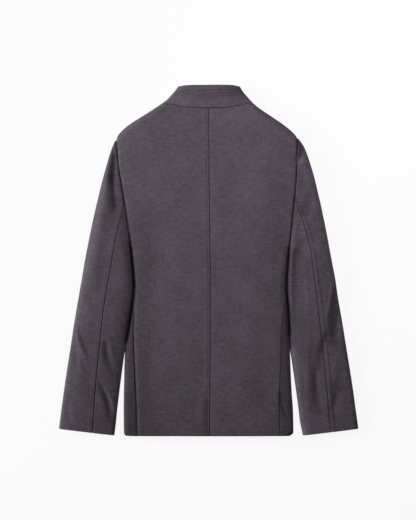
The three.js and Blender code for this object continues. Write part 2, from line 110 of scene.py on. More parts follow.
# Height of the upper cloth at its folds and in the middle, and the bow of the centre back seam
heights = {
    "y": [394, 341, 273, 150, 25, -24, -245, -396],
    "edge": [15, 19, 21, 20, 17, 16, 13, 12],
    "middle": [21, 26, 30, 32, 29, 27, 22, 18],
    "seam": [0.2, 0.2, 1, 2.2, 3.4, 4.5, 3.9, 2.5],
}

# From the body edge in to the side-back seam above and the front-side seam below
sideSeam = {
    "y": [70, -70, -95, -118.6, -157, -202, -269, -337, -396],
    "left": [0, 0, 0, 7, 11, 19.4, 24.5, 28.5, 28],
    "right": [0, 0, 6, 13, 17, 19.5, 25, 30.8, 31.7],
    "under": [22, 26, 27, 28, 31, 34, 38, 42, 45],
}
scoop = {"y": [0, 14, 42, 80, 130, 180, 225, 250], "scoop": [0, 9, 22, 27, 24, 15, 5, 0]}

# Sleeve rings from armhole to cuff: where they end, where the seams lie on them, and their crown
ring = {
    "t": [0, 0.05, 0.1, 0.15, 0.2, 0.25, 0.3, 0.4, 0.5, 0.6, 0.8, 1],
    "inner": [25, 23, 19, 12, 0, -18, -42, -95, -150, -204, -310, -394],
    "outer": [275, 240, 204, 166, 128, 86, 44, -32, -102, -168, -284, -379],
    "hindLeft": [0.431, 0.404, 0.399, 0.409, 0.432, 0.459, 0.477, 0.508, 0.5, 0.469, 0.429, 0.391],
    "hindRight": [0.451, 0.452, 0.476, 0.499, 0.538, 0.578, 0.6, 0.592, 0.588, 0.585, 0.543, 0.501],
    "fore": [0.2, 0.21, 0.22, 0.24, 0.26, 0.28, 0.3, 0.3, 0.3, 0.3, 0.28, 0.26],
    "crown": [0, 1, 3, 4, 5, 5, 5, 5, 5, 5, 4, 3],
}


def mix(a, b, k):
    return a + (b - a) * k


def smooth(k):
    c = np.clip(k, 0, 1)
    return c * c * (3 - 2 * c)


def along(table, at, column, key="y"):
    # Smooth reading of a table's column, with its end values held
    keys = np.array(table[key], float)
    values = np.array(table[column], float)
    if keys[0] > keys[-1]:
        keys, values = keys[::-1], values[::-1]
    last = len(keys) - 1
    before = np.maximum(np.arange(last + 1) - 1, 0)
    after = np.minimum(np.arange(last + 1) + 1, last)
    slopes = (values[after] - values[before]) / (keys[after] - keys[before])
    place = np.clip(at, keys[0], keys[-1])
    i = np.clip(np.searchsorted(keys, place) - 1, 0, last - 1)
    step = keys[i + 1] - keys[i]
    k = (place - keys[i]) / step
    lean = step * (slopes[i] * k * (1 - k) ** 2 - slopes[i + 1] * k * k * (1 - k))
    return mix(values[i], values[i + 1], k * k * (3 - 2 * k)) + lean


def outlineX(side, y):
    return along(outline, y, side)


def sideRound(y):
    return along(outline, y, "round")


def bodyX(side, y):
    # Body edge, rounded at the hem's corner
    radius = cut["corner"][side]
    into = np.maximum(radius - (y - cut["hemY"]), 0)
    trim = radius - np.sqrt(np.maximum(radius * radius - into * into, 0))
    return along(bodyEdge, y, side) - sideSign[side] * trim


def sleeveInnerX(side, y):
    return along(bodyEdge, y, side) + sideSign[side] * along(split, y, side)


def pathOf(xAt, first, last, step):
    y = np.linspace(first, last, int(math.ceil(abs(last - first) / step)) + 1)
    return np.stack([xAt(y), y], 1)


# The lines along which the cloth folds over, as points a few millimetres apart
foldStep = {"outline": 6, "body": 4, "sleeve": 6}
folds = {}
for side in ("left", "right"):
    folds[side] = {
        "outline": pathOf(
            lambda y: outlineX(side, y), outline["y"][0], cut["cuffOuterY"], foldStep["outline"]),
        "body": pathOf(
            lambda y: bodyX(side, y), cut["underarmY"], cut["hemY"], foldStep["body"]),
        "sleeve": pathOf(
            lambda y: sleeveInnerX(side, y), cut["underarmY"], cut["cuffInnerY"], foldStep["sleeve"]),
    }


def foldAt(path, x, y):
    # How far the cloth has turned over near a fold: 1 at the fold itself and 0 past its radius
    px, py = x.ravel(), y.ravel()
    best = np.full(px.shape, 1e9)
    spot = np.zeros(px.shape)
    for a, b in zip(path[:-1], path[1:]):
        e = b - a
        k = np.clip(((px - a[0]) * e[0] + (py - a[1]) * e[1]) / (e @ e), 0, 1)
        d = np.hypot(a[0] + k * e[0] - px, a[1] + k * e[1] - py)
        closer = d < best
        best = np.where(closer, d, best)
        spot = np.where(closer, a[1], spot)
    tilt = np.maximum(1 - best / sideRound(spot), 0)
    return np.sqrt(1 - tilt * tilt).reshape(x.shape)


def liftAt(side, x):
    # The fronts rise over the buttons near the closing line, the right one also over the left one
    away = np.abs(x - cut["closureX"])
    if side == "left":
        reach, flat, lift = cut["lowLiftReach"], cut["buttonHalf"], cut["buttonLift"]
    else:
        reach, flat, lift = cut["highLiftReach"], cut["highLiftFlat"], lapLift
    return lift * smooth((reach - away) / (reach - flat))


def inset(q, bend):
    turn = np.minimum(np.abs(q) / bend, math.pi / 2)
    return bend * (1 - np.cos(turn)) + np.maximum(np.abs(q) - bend * math.pi / 2, 0)


def arcOf(d, bend):
    near = bend * np.arccos(np.clip(1 - d / bend, -1, 1))
    return np.where(d < bend, near, bend * math.pi / 2 + d - bend)


def sideSeamArc(side, y):
    return arcOf(np.maximum(along(sideSeam, y, side), 0), sideRound(y))


def neckLine(x, low):
    endLeft, endRight = outlineX("left", cut["neckEndY"]), outlineX("right", cut["neckEndY"])
    half = np.where(x < cut["closureX"], endLeft - cut["closureX"], endRight - cut["closureX"])
    out = np.clip(np.abs((x - cut["closureX"]) / half), 0, 1)
    return mix(low, cut["neckEndY"], out ** cut["neckBend"])


# Creases, listed one by one: from, to, how far it bows aside, width, height (minus is a trough), all in mm
upperCreases = [
    (-206, 268, -214, 180, 2, 9.0, -5.0),
    (-215, 200, -206, 100, 4, 8.5, -5.4),
    (-222, 200, -217, 146, 1, 2.6, -0.9),
    (-231, 214, -236, 130, 3, 8.0, 1.0),
    (-233, 136, -267, -58, 0, 14.0, 2.9),
    (-283, -6, -293, -92, 2, 9.0, -1.4),
    (-296, -148, -273, -222, 5, 5.5, 2.8),
    (-306, -168, -290, -236, 4, 8.0, -1.6),
    (-291, -212, -282, -254, 2, 4.5, 1.2),
    (-231, -182, -216, -250, 4, 7.0, -2.8),
    (-222, -170, -207, -232, 3, 5.0, 0.9),
    (-246, -272, -219, -356, -5, 7.0, -2.8),
    (-236, -282, -209, -346, -4, 5.0, 1.0),
    (-258, 96, -236, 34, 3, 10.0, -0.8),
    (-268, -60, -246, -118, 4, 11.0, -0.8),
    (-317, -322, -309, -366, 2, 5.0, -1.0),
    (224, 256, 196, 214, 3, 8.0, -5.0),
    (222, 240, 200, 206, 3, 5.0, 1.2),
    (281, -30, 266, -128, -3, 4.4, 2.4),
    (297, -44, 285, -180, 4, 12.0, -6.6),
    (266, -162, 252, -240, 4, 8.0, -3.0),
    (241, -240, 249, -334, 4, 7.0, -2.8),
    (213, 2, 224, -160, -4, 8.0, 1.0),
    (225, -158, 227, -372, 3, 8.0, 1.2),
    (288, -286, 276, -346, -3, 9.0, -1.8),
    (292, -212, 284, -268, 3, 8.0, 1.0),
    (236, 156, 226, 92, 4, 10.0, -0.9),
    (252, 60, 240, 10, -4, 10.0, 0.8),
    (162, -296, 171, -344, 2, 5.0, -1.8),
    (169, -334, 184, -360, 2, 4.5, -1.6),
    (-128, 200, -134, -60, -8, 30.0, -1.2),
    (-132, -20, -130, -410, 6, 30.0, -1.8),
    (60, 250, 70, -100, 6, 60.0, -1.6),
    (120, -150, 128, -410, -8, 30.0, -1.0),
    (-3, -296, -3, -410, 1, 8.0, -1.2),
    (-168, 38, -128, -18, 8, 13.0, -0.7),
    (172, 34, 134, -24, -8, 13.0, -0.7),
    (-120, 300, -70, 262, 6, 16.0, 0.5),
    (118, 298, 64, 268, -6, 16.0, 0.5),
    (-62, -290, -44, -386, 6, 15.0, 0.5),
    (76, -250, 58, -340, -6, 15.0, 0.5),
]
lowerCreases = [
    (-150, 220, -112, 150, 6, 10.0, 0.9),
    (148, 214, 108, 140, -6, 10.0, 0.9),
    (-130, 60, -96, 10, 5, 9.0, 0.7),
    (134, 52, 100, -4, -5, 9.0, 0.7),
    (-262, -40, -240, -104, 4, 8.0, 1.0),
    (264, -52, 240, -116, -4, 8.0, 1.0),
    (-280, -200, -262, -262, 3, 8.0, 0.8),
    (282, -190, 262, -262, -3, 8.0, 0.8),
]

# Painted shade where folds, pressed places and broad stretches of the cloth hold less light: from, to,
# width, strength
paintedShadeRows = [
    (-209, 262, -213, 214, 8, 0.40),
    (-213, 232, -218, 182, 10, 0.42),
    (-218, 192, -211, 122, 6.5, 0.40),
    (-206, 200, -205, 108, 9, 0.26),
    (203, 264, 206, 238, 9, 0.42),
    (284, -66, 277, -180, 13, 0.34),
    (193, 140, 184, 50, 6, 0.26),
    (264, -170, 254, -240, 9, 0.26),
    (243, -246, 249, -338, 8, 0.28),
    (288, -280, 279, -350, 13, 0.18),
    (250, -60, 250, -200, 10, 0.14),
    (-229, -186, -215, -252, 8, 0.28),
    (-242, -280, -218, -358, 8, 0.28),
    (-262, -190, -262, -390, 50, 0.12),
    (-146, 90, -140, -400, 36, 0.27),
    (-110, -330, -50, -420, 80, 0.10),
    (150, 90, 150, -60, 30, 0.06),
    (206, 200, 212, 110, 14, 0.30),
    (200, 112, 198, 14, 10, 0.32),
    (200, 40, 222, -300, 16, 0.12),
    (190, 20, 187, -190, 8, 0.52),
    (-3, -320, -3, -400, 8, 0.34),
    (-177, -310, -177, -400, 12, 0.20),
    (164, -300, 186, -360, 7, 0.22),
]

# How a crease swells and widens along its length
crease = {"swell": 0.7, "middle": 0.85, "ends": 0.15, "narrow": 0.75, "widen": 0.4}

# Broad unevenness of cloth that has been laid out by hand: wavelength across and along, phase, height
waves = [
    (210, 460, 0.4, 0.42),
    (148, 330, 2.1, 0.30),
    (96, 250, 4.4, 0.20),
    (74, 150, 1.2, 0.12),
]
waveDrift = {"phase": 1.7, "slant": 0.004}

# The back is highest in its middle: share of the given height, how flat it stays, how it falls away
bodyCrown = {"share": 0.75, "flat": 5, "fall": 1.6}


def creaseAt(rows, x, y):
    height = np.zeros(x.shape)
    for x1, y1, x2, y2, bow, width, rise in rows:
        ex, ey = x2 - x1, y2 - y1
        length = math.hypot(ex, ey)
        k = ((x - x1) * ex + (y - y1) * ey) / length ** 2
        c = np.clip(k, 0, 1)
        off = ((x - x1) * ey - (y - y1) * ex) / length - bow * 4 * c * (1 - c)
        past = np.abs(k - c) * length
        body = np.sin(math.pi * c) ** crease["swell"] * crease["middle"] + crease["ends"]
        body = body * np.exp(-(past / width) ** 2)
        wide = width * (crease["narrow"] + crease["widen"] * c)
        height += rise * body * np.exp(-(off / wide) ** 2)
    return height


# Painted shade of the listed rows: 0 where none is painted, more where they darken the colour
def paintedShadeAt(x, y):
    light = np.ones(x.shape)
    for x1, y1, x2, y2, width, strength in paintedShadeRows:
        ex, ey = x2 - x1, y2 - y1
        c = np.clip(((x - x1) * ex + (y - y1) * ey) / (ex * ex + ey * ey), 0, 1)
        off = np.hypot(x - x1 - c * ex, y - y1 - c * ey) / width
        light *= 1 - strength * np.exp(-off ** 2)
    return 1 - light


def wavesAt(x, y):
    height = np.zeros(x.shape)
    for across, lengthwise, phase, rise in waves:
        height += rise * np.sin(2 * math.pi * x / across + phase) * np.sin(
            2 * math.pi * y / lengthwise + waveDrift["phase"] * phase + waveDrift["slant"] * x)
    return height


def foldedPoint(x, y, top, arches, upper, lift=0.0, hold=0.0):
    # Upper cloth turns down at its folds, and lower cloth up, to half the edge height
    middle = along(heights, y, "edge") / 2
    arch = arches[0] * arches[1]
    above = np.maximum((top - middle) * arch, hold)
    below = -np.maximum(middle * arch, hold)
    return np.stack([x, y, middle + np.where(upper, above, below) + lift], -1)


def bodyPoint(side, x, y, upper, lift=0.0, hold=0.0):
    arches = [foldAt(folds[side]["outline"], x, y), foldAt(folds[side]["body"], x, y)]
    edge = along(heights, y, "edge")
    middle = along(heights, y, "middle")
    across = np.clip(np.abs(x / along(bodyEdge, np.minimum(y, bodyEdge["y"][0]), side)), 0, 1)
    crown = bodyCrown["share"] * (middle - edge) * (1 - across ** bodyCrown["flat"]) ** bodyCrown["fall"]
    top = edge + crown + creaseAt(upperCreases, x, y) + wavesAt(x, y)
    point = foldedPoint(x, y, top, arches, upper, lift, hold)
    soft = np.where(upper, 0.0, creaseAt(lowerCreases, x, y) * arches[0] * arches[1])
    point[..., 2] += np.maximum(soft, 0)
    return point


def panelPlace(side, f, v, shape):
    # Columns run from the inner line to the side seam or armhole, rows 0 to 1 lie below the split
    splitY, neckY = shape["splitY"], shape["neckY"]
    lowY = mix(cut["hemY"], splitY, np.minimum(v, 1))
    lowX = mix(shape["innerX"](lowY), shape["sideX"](lowY), f)
    k = np.maximum(v - 1, 0)
    end = outlineX(side, cut["neckEndY"])
    part = cut["neckPart"]
    shoulder = cut["shoulderY"][side]
    neckX = mix(shape["innerX"](neckY), end, np.minimum(f / part, 1))
    slopeY = mix(cut["neckEndY"], shoulder, np.maximum(f - part, 0) / (1 - part))
    topX = np.where(f <= part, neckX, outlineX(side, slopeY))
    topY = np.where(f <= part, neckLine(neckX, neckY) + cut["neckTuck"], slopeY)
    armY = mix(splitY, shoulder, k)
    bow = shape["armX"](armY) - mix(shape["sideX"](splitY), outlineX(side, shoulder), k)
    start = mix(shape["innerX"](splitY), shape["sideX"](splitY), f)
    highX = mix(start, topX, k) + bow * f ** cut["armholeBend"]
    highY = mix(splitY, topY, k)
    return np.where(v <= 1, lowX, highX), np.where(v <= 1, lowY, highY)


def arcs(points, axis):
    step = np.linalg.norm(np.diff(points, axis=axis), axis=-1)
    zero = np.zeros_like(np.take(step, [0], axis=axis))
    return np.concatenate([zero, np.cumsum(step, axis=axis)], axis=axis)


# Spacing of the cloth's grid, in mm: its fine steps at each edge, then the even ones
grid = {
    "edges": (0, 0.55, 1.1, 1.7, 2.4, 3.4, 4.8, 6.6, 8.6, 9.6, 10.6, 12.4),
    "pitch": 3.2,
    "pitchAlong": 3.6,
    "endShare": 0.45,
    "endMost": 0.48,
    "tryAcross": 161,
    "tryAlong": 241,
    "tryColumns": 9,
    "sideFade": 4,
    "edgeAngle": 62,
    "smoothAngle": 48,
}

# Seam allowance pressed flat under the cloth: the faint ridge at its end, and the dip of a tight seam
allowance = {"ridgeIn": 0.6, "ridgeWidth": 1.3, "ridgeShare": 0.7, "fall": 1.6, "dipWidth": 9.0}


def spaced(length, pitch, edges):
    # Places along a length: fine steps at both ends, and even ones between them
    fine = np.array([e for e in edges if e < length * grid["endShare"]])
    count = max(int(round((length - 2 * fine[-1]) / pitch)), 1)
    between = np.linspace(fine[-1], length - fine[-1], count + 1)[1:-1]
    return np.concatenate([fine, between, length - fine[::-1]])


def stepDown(d, depth, width):
    # Cloth that rolls down into a seam
    return -depth * (1 - smooth(d / width))


def pressed(d, reach, rise):
    # Cloth raised by the seam allowance pressed flat under it, with a faint ridge at its end
    ridge = np.exp(-((d - reach + allowance["ridgeIn"]) / allowance["ridgeWidth"]) ** 2)
    return rise * (1 - smooth((d - reach) / allowance["fall"])) + rise * allowance["ridgeShare"] * ridge


def sewnRelief(edges, seams):
    # Relief of the piece, and its seam lines and painted shade, from how each of its edges is sewn
    relief = np.zeros(edges["start"].shape)
    shade = np.zeros(edges["start"].shape)
    for edge, sewn in seams.items():
        d = edges[edge]
        relief += stepDown(d, sewn["depth"], sewn["width"])
        if "reach" in sewn:
            relief += pressed(d, sewn["reach"], sewn["rise"])
        for at, strength, width in sewn.get("lines", []):
            shade = np.maximum(shade, strength * np.exp(-((d - at) / width) ** 2))
        if "trough" in sewn:
            relief -= sewn["trough"] * np.exp(-(d / allowance["dipWidth"]) ** 2)
        shade = np.maximum(shade, sewn["shade"] * np.exp(-(d / sewn["soft"]) ** 2))
    return relief, shade


def grainMap(points, axis):
    # The piece opened out flat along its grain, which runs along the axis in plan
    grain = np.array(axis) / math.hypot(*axis)
    crosswise = points[..., :2] @ np.array([grain[1], -grain[0]])
    lengthwise = points[..., :2] @ grain
    step = np.diff(points, axis=1)
    across = np.sqrt(np.maximum((step ** 2).sum(-1) - np.diff(lengthwise, axis=1) ** 2, 0))
    run = np.concatenate([np.zeros((len(points), 1)), np.cumsum(across, 1)], 1)
    middle = points.shape[1] // 2
    way = np.sign(crosswise[:, middle + 1] - crosswise[:, middle - 1]).mean()
    u = crosswise[:, middle:middle + 1] + math.copysign(1, way) * (run - run[:, middle:middle + 1])
    return np.stack([u, lengthwise], -1)


def flatCut(opened):
    # Width, length and area of the piece opened out flat
    width, length = np.ptp(opened.reshape(-1, 2), axis=0)
    rise, fall = opened[1:, 1:] - opened[:-1, :-1], opened[1:, :-1] - opened[:-1, 1:]
    area = np.abs(rise[..., 0] * fall[..., 1] - rise[..., 1] * fall[..., 0]).sum() / 2
    return float(width) * mm, float(length) * mm, float(area) * mm * mm


def selectOnly(piece):
    bpy.ops.object.select_all(action="DESELECT")
    piece.select_set(True)
    bpy.context.view_layer.objects.active = piece


def applyAll(piece):
    selectOnly(piece)
    for modifier in list(piece.modifiers):
        bpy.ops.object.modifier_apply(modifier=modifier.name)


def layCloth(name, pointAt, seams, thickness=None, vMost=1.0, sink=0.0, grain=(0, 1), paintedValleyShade=None, column=3):
    # One sheet of cloth: placed point by point, sewn in at its edges, then given its thickness
    rough = np.linspace(0, 1, grid["tryAcross"])
    centre = np.linspace(0, vMost, grid["tryAlong"])
    columns = arcs(pointAt(*np.meshgrid(np.linspace(0, 1, grid["tryColumns"]), centre)), 0)
    columnArc = columns[:, column]
    along1 = spaced(columnArc[-1], grid["pitchAlong"], grid["edges"])
    v = np.interp(along1, columnArc, centre)
    trial = pointAt(*np.meshgrid(rough, v))
    trialArc = arcs(trial, 1)
    across1 = spaced(float(np.median(trialArc[:, -1])), grid["pitch"], grid["edges"])
    edges = [e for e in grid["edges"] if e < across1[-1] * grid["endShare"]]
    n = len(edges)
    f = np.zeros((len(v), len(across1)))
    for j in range(len(v)):
        length = trialArc[j, -1]
        share = (across1 - across1[n - 1]) / (across1[-n] - across1[n - 1])
        near = np.minimum(edges, length * grid["endMost"] * np.array(edges) / edges[-1])
        middle = mix(near[-1], length - near[-1], share[n:-n])
        wanted = np.concatenate([near, middle, length - near[::-1]])
        f[j] = np.interp(wanted, trialArc[j], rough)
    vGrid = np.repeat(v[:, None], f.shape[1], 1)
    points = pointAt(f, vGrid)
    normal = np.cross(np.gradient(points, axis=1), np.gradient(points, axis=0))
    normal /= np.maximum(np.linalg.norm(normal, axis=-1, keepdims=True), 1e-9)
    inside = along(heights, points[..., 1], "edge") / 2
    flip = 1 if (normal[..., 2] * (points[..., 2] - inside)).sum() > 0 else -1
    normal = normal * flip
    rowArc, columnArcs = arcs(points, 1), arcs(points, 0)
    edge = {
        "start": rowArc,
        "end": rowArc[:, -1:] - rowArc,
        "low": columnArcs,
        "high": columnArcs[-1:] - columnArcs,
    }
    # Painted shade: the seam lines and shade beside them, the listed painted shade rows on the upper cloth,
    # and the dark valley between sleeve and body, kept in one attribute of the mesh
    relief, shade = sewnRelief(edge, seams)
    above = smooth((points[..., 2] - inside) / grid["sideFade"])
    shade = 1 - (1 - shade) * (1 - above * paintedShadeAt(points[..., 0], points[..., 1]))
    # Painted shade in the valley between sleeve and body
    if paintedValleyShade is not None:
        pinched = paintedValleyShade(points)
        relief *= 1 - pinched
        shade = np.maximum(shade, pinched)
    relief = relief - sink
    smoothPoints = points
    points = points + normal * relief[..., None]
    points[..., 2] = np.maximum(points[..., 2], cut["floorGap"])

    rows, columns = f.shape
    bpy.ops.mesh.primitive_grid_add(x_subdivisions=columns - 1, y_subdivisions=rows - 1, size=1)
    piece = bpy.context.object
    piece.name = name
    piece.data.name = name
    mesh = piece.data
    mesh.vertices.foreach_set("co", (points * mm).reshape(-1))
    opened = grainMap(smoothPoints, grain)
    weave = opened.reshape(-1, 2) * mm
    corner = np.zeros(len(mesh.loops), np.int32)
    mesh.loops.foreach_get("vertex_index", corner)
    mesh.uv_layers.active.data.foreach_set("uv", weave[corner].reshape(-1))
    mesh.attributes.new("seamLinesAndPaintedShade", "FLOAT", "POINT").data.foreach_set("value", shade.reshape(-1))
    mesh.update()
    if flip < 0:
        selectOnly(piece)
        bpy.ops.object.mode_set(mode="EDIT")
        bpy.ops.mesh.select_all(action="SELECT")
        bpy.ops.mesh.flip_normals()
        bpy.ops.object.mode_set(mode="OBJECT")
    wall = piece.modifiers.new("cloth thickness", "SOLIDIFY")
    wall.thickness = (thickness or cut["wall"]) * mm
    wall.offset = -1
    rim = piece.modifiers.new("raw edge", "BEVEL")
    rim.width = cut["rawEdge"] * mm
    rim.segments = 2
    rim.limit_method = "ANGLE"
    rim.angle_limit = math.radians(grid["edgeAngle"])
    applyAll(piece)
    # No point hangs below the hem line
    spots = np.zeros(len(piece.data.vertices) * 3, np.float32)
    piece.data.vertices.foreach_get("co", spots)
    spots[1::3] = np.maximum(spots[1::3], cut["hemY"] * mm)
    piece.data.vertices.foreach_set("co", spots)
    bpy.ops.object.shade_smooth_by_angle(angle=math.radians(grid["smoothAngle"]))
    return piece, flatCut(opened)


# Wool: colours are linear, lengths in metres on each piece's own flat map
wool = {
    "light": (0.1000, 0.0828, 0.1025, 1),
    "dark": (0.0540, 0.0443, 0.0552, 1),
    # Side panels: a darker copy of the same wool, painted shade where the body turns down at its sides
    "sideLight": (0.0700, 0.0580, 0.0718, 1),
    "sideDark": (0.0385, 0.0316, 0.0394, 1),
    # Collar: a lighter copy of the same wool, painted light over the whole collar
    "collarLight": (0.1060, 0.0878, 0.1086, 1),
    "collarDark": (0.0575, 0.0472, 0.0588, 1),
    # Colour that the painted shade darkens towards
    "paintedShadeTint": (0.03, 0.027, 0.03, 1),
    "toneRange": (0.38, 0.62),
    "roughness": (0.96, 0.84),
    "specular": 0.12,
    "threadPitch": 0.00085,
    "bump": 0.00022,
    "sheen": 0.05,
    "sheenRoughness": 0.45,
    "sheenTint": (0.80, 0.76, 0.84, 1),
}

# Parts of the weave: stretch of each noise across and along, its detail, shift and share of the tone
weaveParts = {
    "weft slubs": {"stretch": (52, 300, 1), "detail": 2.0, "rough": 0.55, "shift": 0.0, "share": 0.32},
    "warp slubs": {"stretch": (290, 64, 1), "detail": 2.0, "rough": 0.55, "shift": 3.1, "share": 0.24},
    "mottle": {"stretch": (150, 150, 1), "detail": 4.0, "rough": 0.6, "shift": 7.7, "share": 0.24},
    "clouds": {"stretch": (22, 18, 1), "detail": 3.0, "rough": 0.55, "shift": 5.3, "share": 0.20},
}
knuckleShare = 0.3


def mathNode(tree, operation, first, second=None, third=None):
    node = tree.nodes.new("ShaderNodeMath")
    node.operation = operation
    for slot, value in enumerate((first, second, third)):
        if value is None:
            continue
        if isinstance(value, (int, float)):
            node.inputs[slot].default_value = value
        else:
            tree.links.new(value, node.inputs[slot])
    return node.outputs[0]


def stretchedNoise(tree, vector, scale, detail, roughness, shift):
    place = tree.nodes.new("ShaderNodeMapping")
    place.inputs["Scale"].default_value = scale
    place.inputs["Location"].default_value = (shift, shift * 0.7, 0)
    tree.links.new(vector, place.inputs["Vector"])
    noise = tree.nodes.new("ShaderNodeTexNoise")
    noise.inputs["Scale"].default_value = 1.0
    noise.inputs["Detail"].default_value = detail
    noise.inputs["Roughness"].default_value = roughness
    tree.links.new(place.outputs["Vector"], noise.inputs["Vector"])
    return noise.outputs["Fac"]


def ranged(tree, value, toRange, fromRange=(0.0, 1.0)):
    node = tree.nodes.new("ShaderNodeMapRange")
    for name, number in zip(("From Min", "From Max", "To Min", "To Max"), (*fromRange, *toRange)):
        node.inputs[name].default_value = number
    tree.links.new(value, node.inputs["Value"])
    return node.outputs["Result"]


def colourMix(tree, share, first, second, blend="MIX"):
    node = tree.nodes.new("ShaderNodeMix")
    node.data_type = "RGBA"
    node.blend_type = blend
    tree.links.new(share, node.inputs[0])
    for slot, colour in ((6, first), (7, second)):
        if isinstance(colour, tuple):
            node.inputs[slot].default_value = colour
        else:
            tree.links.new(colour, node.inputs[slot])
    return node.outputs[2]


def finishSurface(tree, colour, roughness, height, bumpDepth):
    shader = tree.nodes["Principled BSDF"]
    bump = tree.nodes.new("ShaderNodeBump")
    bump.inputs["Distance"].default_value = bumpDepth
    tree.links.new(height, bump.inputs["Height"])
    tree.links.new(colour, shader.inputs["Base Color"])
    tree.links.new(roughness, shader.inputs["Roughness"])
    tree.links.new(bump.outputs["Normal"], shader.inputs["Normal"])
    return shader


def makeWeaveGroup():
    # Plain weave with slubs in both directions and a soft mottle: a tone round 0.5 and a height round 0.5
    tree = bpy.data.node_groups.new("wool weave", "ShaderNodeTree")
    tree.interface.new_socket("Map", in_out="INPUT", socket_type="NodeSocketVector")
    pitch = tree.interface.new_socket("Thread pitch", in_out="INPUT", socket_type="NodeSocketFloat")
    pitch.default_value = wool["threadPitch"]
    tree.interface.new_socket("Tone", in_out="OUTPUT", socket_type="NodeSocketFloat")
    tree.interface.new_socket("Height", in_out="OUTPUT", socket_type="NodeSocketFloat")
    entry = tree.nodes.new("NodeGroupInput")
    leave = tree.nodes.new("NodeGroupOutput")
    place = entry.outputs["Map"]

    tone = 0.0
    for part in weaveParts.values():
        noise = stretchedNoise(tree, place, part["stretch"], part["detail"], part["rough"], part["shift"])
        tone = mathNode(tree, "MULTIPLY_ADD", noise, part["share"], tone)
    tree.links.new(tone, leave.inputs["Tone"])

    parts = tree.nodes.new("ShaderNodeSeparateXYZ")
    tree.links.new(place, parts.inputs[0])
    turn = mathNode(tree, "DIVIDE", math.pi, entry.outputs["Thread pitch"])
    warp = mathNode(tree, "SINE", mathNode(tree, "MULTIPLY", parts.outputs[0], turn))
    weft = mathNode(tree, "SINE", mathNode(tree, "MULTIPLY", parts.outputs[1], turn))
    knuckle = mathNode(tree, "MULTIPLY", warp, weft)
    height = mathNode(tree, "MULTIPLY_ADD", knuckle, knuckleShare, tone)
    tree.links.new(height, leave.inputs["Height"])
    return tree


def makeWool(name, weave, light, dark):
    material = bpy.data.materials.new(name)
    material.use_nodes = True
    tree = material.node_tree
    uv = tree.nodes.new("ShaderNodeUVMap")
    uv.uv_map = "UVMap"
    group = tree.nodes.new("ShaderNodeGroup")
    group.node_tree = weave
    group.inputs["Thread pitch"].default_value = wool["threadPitch"]
    tree.links.new(uv.outputs["UV"], group.inputs["Map"])

    spread = ranged(tree, group.outputs["Tone"], (0.0, 1.0), wool["toneRange"])
    tint = colourMix(tree, spread, dark, light)

    # Folds and pressed seams hold less light, as they lie a little lower: painted shade from the mesh's
    # attribute darkens the colour there, together with the seams' own dark lines
    shaded = tree.nodes.new("ShaderNodeAttribute")
    shaded.attribute_name = "seamLinesAndPaintedShade"
    darker = colourMix(tree, shaded.outputs["Fac"], tint, wool["paintedShadeTint"], "MULTIPLY")
    rough = ranged(tree, group.outputs["Tone"], wool["roughness"])
    shader = finishSurface(tree, darker, rough, group.outputs["Height"], wool["bump"])
    shader.inputs["Sheen Weight"].default_value = wool["sheen"]
    shader.inputs["Sheen Roughness"].default_value = wool["sheenRoughness"]
    shader.inputs["Sheen Tint"].default_value = wool["sheenTint"]
    shader.inputs["Specular IOR Level"].default_value = wool["specular"]
    return material


weave = makeWeaveGroup()
woolCloth = makeWool("plum grey wool", weave, wool["light"], wool["dark"])
# The side panels' darker copy of the wool is painted shade
sideCloth = makeWool("plum grey wool, side panels", weave, wool["sideLight"], wool["sideDark"])
# The collar's lighter copy of the wool is painted light
collarCloth = makeWool("plum grey wool, collar, painted light", weave, wool["collarLight"], wool["collarDark"])
print("wool materials made")


# Seams: depth and width of the roll, how dark and soft the seam line is (its own dark line and painted shade
# beside it), reach and rise of the pressed allowance, and further painted shade lines: how far from the
# seam, how dark, how wide
centreRoll = {"depth": 0.9, "width": 1.9, "shade": 0.40, "soft": 1.4, "trough": 0.3}
sleeveRoll = {"depth": 0.9, "width": 1.9, "shade": 0.38, "soft": 1.4}
seam = {
    "plain": {"depth": 0.8, "width": 1.8, "shade": 0.36, "soft": 1.3},
    "centreLeft": {**centreRoll, "reach": 10.2, "rise": 0.16, "lines": [(6.4, 0.14, 1.5)]},
    "centreRight": {**centreRoll, "reach": 10.0, "rise": 0.06},
    "hindOuter": {**sleeveRoll, "reach": 9.4, "rise": 0.14},
    "hindDouble": {**sleeveRoll, "reach": 8.6, "rise": 0.2, "lines": [(9.4, 0.28, 1.5)]},
    "hindInner": {**sleeveRoll, "reach": 9.0, "rise": 0.06},
    # Painted shadow on the sleeve head, under the raised edge of the body
    "sleeveHead": {"depth": 3.0, "width": 6.5, "shade": 0.6, "soft": 3.2},
    "backLeft": {"depth": 1.5, "width": 8.0, "shade": 0.30, "soft": 1.3},
    # Painted shade in a wide band along the right back's armhole edge
    "backRight": {"depth": 0.5, "width": 1.6, "shade": 0.42, "soft": 2.6},
    "neck": {"depth": 0.8, "width": 1.8, "shade": 0.42, "soft": 1.7, "trough": 0.4},
    "hem": {"depth": 0.5, "width": 1.5, "shade": 0.2, "soft": 1.2, "reach": 42.0, "rise": 0.14},
    "closing": {"depth": 0.3, "width": 1.4, "shade": 0.2, "soft": 1.2, "reach": 60.0, "rise": 0.1},
    "shoulder": {"depth": 0.7, "width": 1.8, "shade": 0.3, "soft": 1.4},
}

# Sleeve and body lie pressed together from the underarm down: little light gets in between them, so painted
# shade darkens the cloth along the valley and the seam relief is flattened there
pinch = {
    "top": 76.0,
    "full": -20.0,
    "start": 22.0,
    "apex": {"left": -196.0, "right": -184.0},
    "fade": 20.0,
    "narrow": 1.8,
    "near": 5.8,
    "soft": 0.30,
    "far": 16.0,
}


